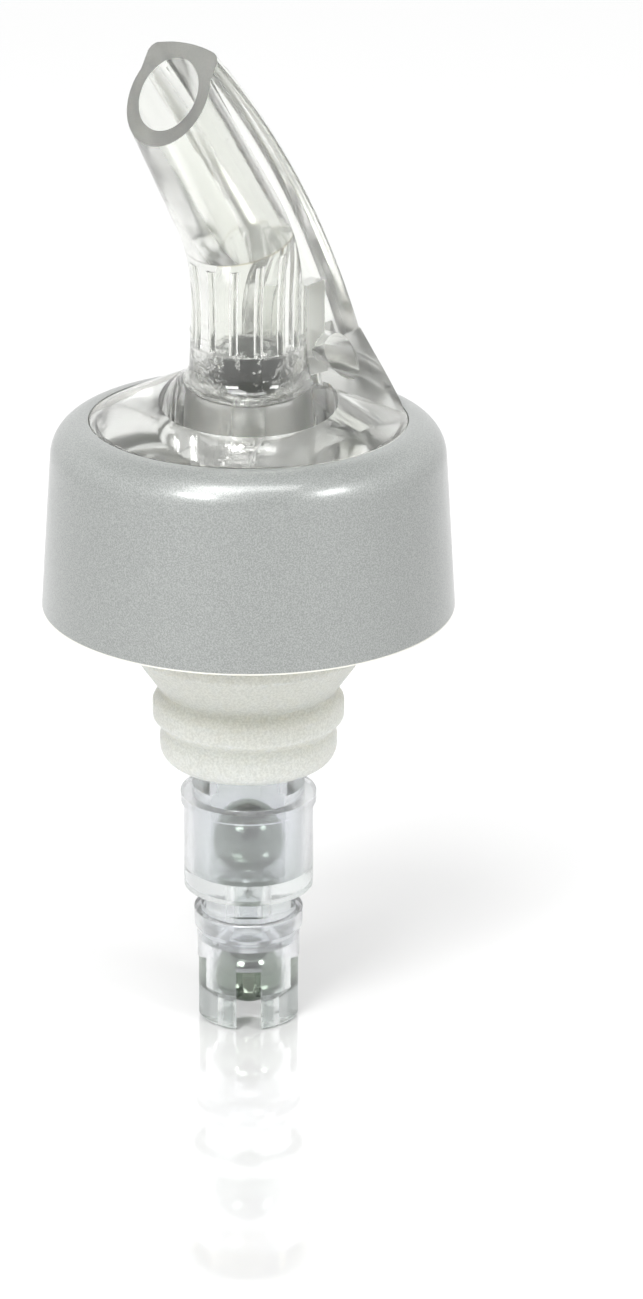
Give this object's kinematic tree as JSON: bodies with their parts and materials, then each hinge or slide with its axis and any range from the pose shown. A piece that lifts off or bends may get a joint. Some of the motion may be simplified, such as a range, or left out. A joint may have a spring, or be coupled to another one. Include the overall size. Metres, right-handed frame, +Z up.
{
  "type": "liquor pour spout",
  "caption": "Measured liquor pour spout with a bent clear spout, a round collar, a soft ribbed stopper and a ball shut-off valve below.",
  "frame": {"origin": "on the valve axis, in the plane of the cage fingers' feet", "axes": "+Z up along the valve axis towards the mouth, the spout leans and pours towards -Y, X = 0 is the spout's plane of symmetry"},
  "size_m": [0.0444, 0.0444, 0.1111],
  "materials": {
    "clear_plastic": "clear, polished",
    "collar_plastic": "pearl grey, semi-gloss",
    "soft_stopper": "translucent, frosted",
    "vent_plastic": "natural, translucent",
    "steel_ball": "polished"
  },
  "bodies": {
    "pourer": {"pour_spout": "clear_plastic", "collar": "collar_plastic", "stopper": "soft_stopper", "valve_body": "clear_plastic", "timing_cup": "clear_plastic", "check_cage": "clear_plastic", "vent_tube": "vent_plastic"},
    "shutoff_ball": {"shutoff_ball": "steel_ball"},
    "check_ball": {"check_ball": "steel_ball"}
  },
  "joints": [
    {"name": "shutoff_ball_slide", "type": "slide", "parent": "pourer", "child": "shutoff_ball", "axis": [0, 0, 1], "range_m": [0, 0.00955]},
    {"name": "check_ball_slide", "type": "slide", "parent": "pourer", "child": "check_ball", "axis": [0, 0, 1], "range_m": [0, 0.0015]}
  ]
}
